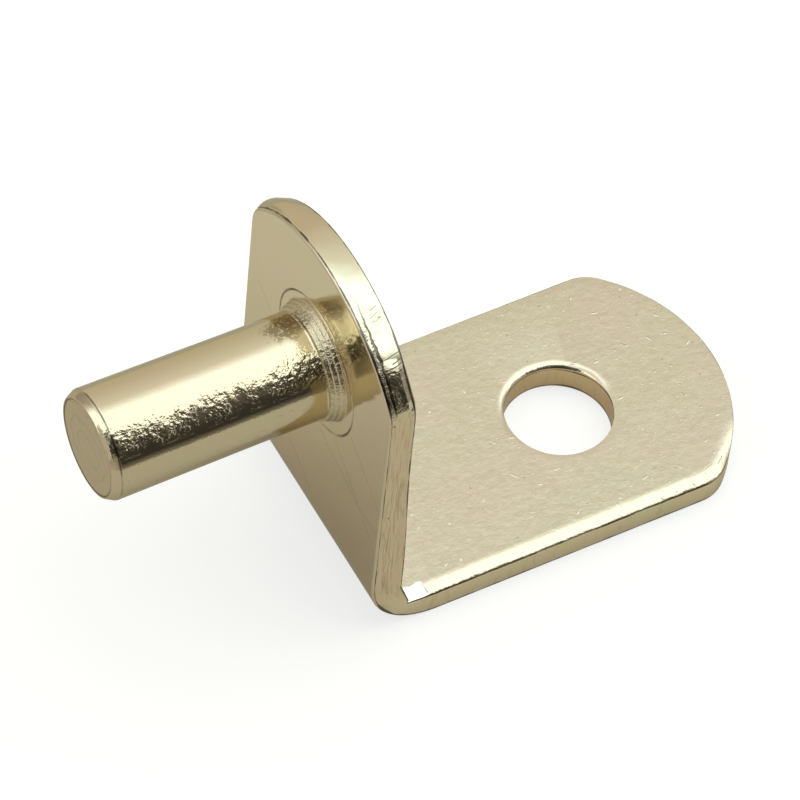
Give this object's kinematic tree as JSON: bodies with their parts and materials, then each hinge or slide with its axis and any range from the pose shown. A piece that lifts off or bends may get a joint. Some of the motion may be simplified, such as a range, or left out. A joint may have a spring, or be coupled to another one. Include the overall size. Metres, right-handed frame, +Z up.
{
  "type": "shelf support pin",
  "caption": "L-shaped shelf support bracket bent from sheet, with a round pin staked through its back leg and a screw hole in its shelf leg.",
  "frame": {"origin": "on the pin's axis, at the shoulder of its collar, where the face of the cabinet side stands", "axes": "the pin runs along -X into the cabinet side, the shelf leg runs along +X, +Y is across the strip, +Z is up towards the shelf"},
  "size_m": [0.032, 0.0126, 0.019],
  "materials": {
    "plated_sheet": "bright pale brass plating over stamped sheet, satin on its inner faces",
    "plated_pin": "bright pale brass plating, slightly rough"
  },
  "bodies": {
    "root": {"bracket": "plated_sheet", "pin": "plated_pin"}
  },
  "joints": []
}
